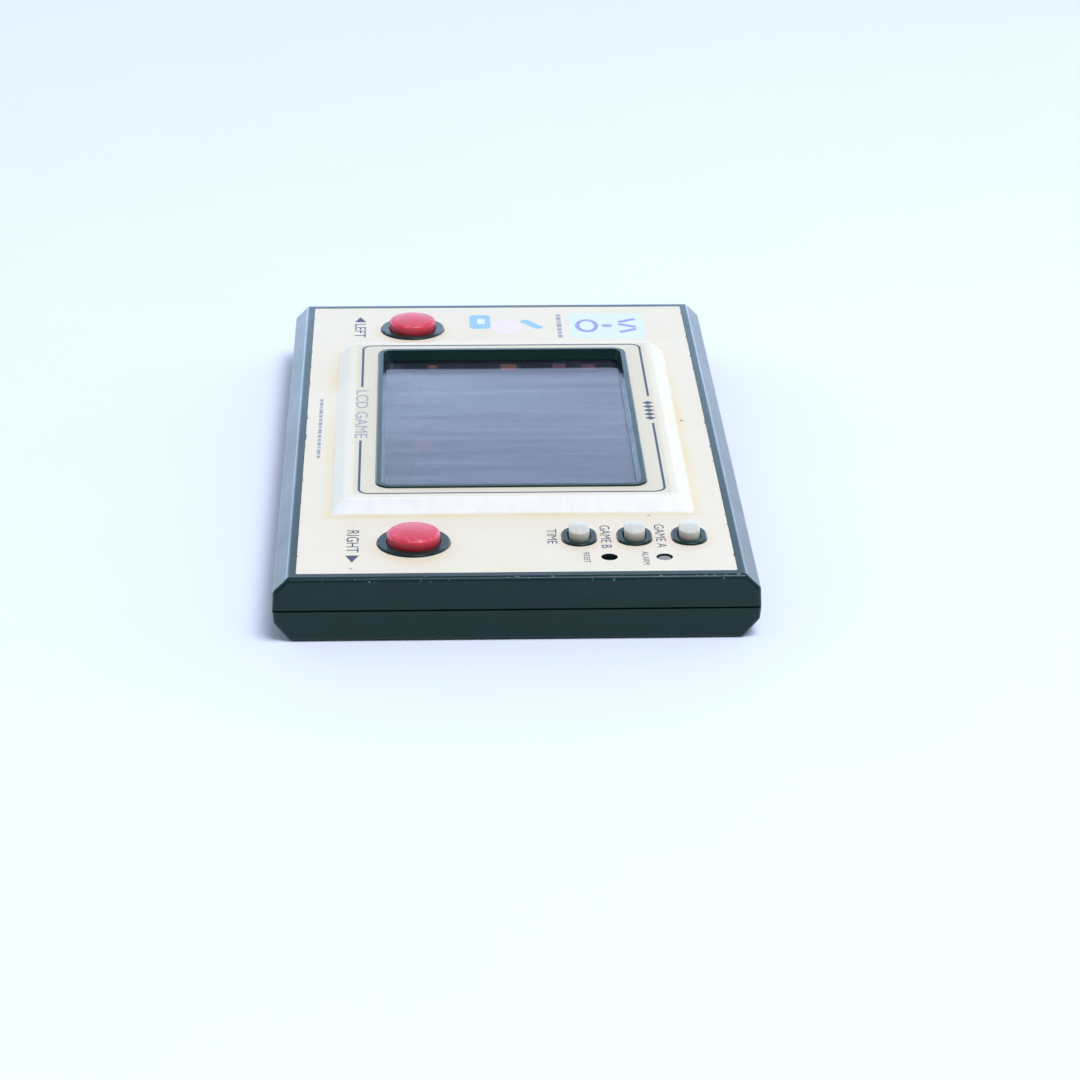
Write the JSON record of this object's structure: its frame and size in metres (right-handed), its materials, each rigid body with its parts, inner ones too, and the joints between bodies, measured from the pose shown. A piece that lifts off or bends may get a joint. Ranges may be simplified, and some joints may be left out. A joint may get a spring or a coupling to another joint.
{
  "type": "handheld lcd game",
  "caption": "Pocket LCD game in a flat case with a raised screen surround, thumb buttons, mode keys, pinhole plungers, sliding battery cover and fold-out stand.",
  "frame": {"origin": "centre of the flat back face, on the surface the game lies on", "axes": "+X towards the game's right-hand end as it is held, +Y towards its top long edge, +Z out of the screen"},
  "size_m": [0.112, 0.067, 0.0116],
  "materials": {
    "green_shell": "satin moulded, dark bottle green",
    "plate": "cream lacquer over embossed sheet",
    "clear_lens": "polished clear acrylic",
    "film": "printed clear film",
    "polariser": "grey polarising film",
    "lcd_glass": "clear",
    "reflector": "diffuse foil",
    "holder": "white moulded",
    "zebra": "layered conductive rubber",
    "red_cap": "soft satin red",
    "grey_cap": "soft satin grey",
    "plunger": "moulded light grey",
    "dark_plunger": "moulded black",
    "dome": "translucent silicone",
    "carbon": "carbon-loaded",
    "board": "phenolic laminate",
    "copper": "etched copper, carbon coated",
    "screw": "zinc plated",
    "chip": "moulded epoxy with tinned leads",
    "can": "nickel plated can",
    "component": "dipped",
    "piezo_brass": "thin brass disc",
    "piezo_white": "silvered ceramic",
    "contact": "nickel plated phosphor bronze",
    "cell": "nickel plated",
    "stand": "bright plated pressed steel",
    "label": "thin silver foil label, blank"
  },
  "bodies": {
    "case": {"upper_case": "green_shell", "lower_case": "green_shell", "face_plate": "plate", "window_lens": "clear_lens", "overlay_film": "film", "front_polariser": "polariser", "lcd_front_glass": "lcd_glass", "lcd_rear_glass": "lcd_glass", "rear_reflector": "reflector", "lcd_holder": "holder", "zebra_strip_top": "zebra", "zebra_strip_bottom": "zebra", "main_board": "board", "contact_fingers": "copper", "board_screws": "screw", "case_screws": "screw", "processor": "chip", "quartz_crystal": "can", "trimmer": "component", "capacitors": "component", "resistors": "component", "piezo_plate": "piezo_brass", "piezo_ceramic": "piezo_white", "piezo_contacts": "contact", "battery_cell_1": "cell", "battery_cell_2": "cell", "battery_negative": "contact", "battery_bridge": "contact", "battery_positive": "contact", "rating_label": "label", "stand_pin": "screw"},
    "left_key": {"left_button": "red_cap", "left_contact": "carbon", "left_dome": "dome"},
    "right_key": {"right_button": "red_cap", "right_contact": "carbon", "right_dome": "dome"},
    "time_key": {"time_button": "grey_cap", "time_contact": "carbon", "time_dome": "dome"},
    "game_b_key": {"game_b_button": "grey_cap", "game_b_contact": "carbon", "game_b_dome": "dome"},
    "game_a_key": {"game_a_button": "grey_cap", "game_a_contact": "carbon", "game_a_dome": "dome"},
    "alarm_key": {"alarm_plunger": "plunger", "alarm_contact": "carbon", "alarm_dome": "dome"},
    "reset_key": {"reset_plunger": "dark_plunger", "reset_contact": "carbon", "reset_dome": "dome"},
    "cover": {"battery_cover": "green_shell"},
    "stand": {"stand": "stand"}
  },
  "joints": [
    {"name": "left_press", "type": "slide", "parent": "case", "child": "left_key", "axis": [0, 0, -1], "range_m": [0, 0.0007], "stiffness_N_per_m": 900, "springref_m": -0.0001, "deforming": ["left_dome"]},
    {"name": "right_press", "type": "slide", "parent": "case", "child": "right_key", "axis": [0, 0, -1], "range_m": [0, 0.0007], "stiffness_N_per_m": 900, "springref_m": -0.0001, "deforming": ["right_dome"]},
    {"name": "time_press", "type": "slide", "parent": "case", "child": "time_key", "axis": [0, 0, -1], "range_m": [0, 0.0007], "stiffness_N_per_m": 700, "springref_m": -0.0001, "deforming": ["time_dome"]},
    {"name": "game_b_press", "type": "slide", "parent": "case", "child": "game_b_key", "axis": [0, 0, -1], "range_m": [0, 0.0007], "stiffness_N_per_m": 700, "springref_m": -0.0001, "deforming": ["game_b_dome"]},
    {"name": "game_a_press", "type": "slide", "parent": "case", "child": "game_a_key", "axis": [0, 0, -1], "range_m": [0, 0.0007], "stiffness_N_per_m": 700, "springref_m": -0.0001, "deforming": ["game_a_dome"]},
    {"name": "alarm_press", "type": "slide", "parent": "case", "child": "alarm_key", "axis": [0, 0, -1], "range_m": [0, 0.0007], "stiffness_N_per_m": 700, "springref_m": -0.0001, "deforming": ["alarm_dome"]},
    {"name": "reset_press", "type": "slide", "parent": "case", "child": "reset_key", "axis": [0, 0, -1], "range_m": [0, 0.0007], "stiffness_N_per_m": 700, "springref_m": -0.0001, "deforming": ["reset_dome"]},
    {"name": "cover_slide", "type": "slide", "parent": "case", "child": "cover", "axis": [-1, 0, 0], "range_m": [0, 0.02]},
    {"name": "stand_fold", "type": "hinge", "parent": "case", "child": "stand", "pos_m": [0, 0.0135, 0.00125], "axis": [1, 0, 0], "range_deg": [0, 65]}
  ]
}
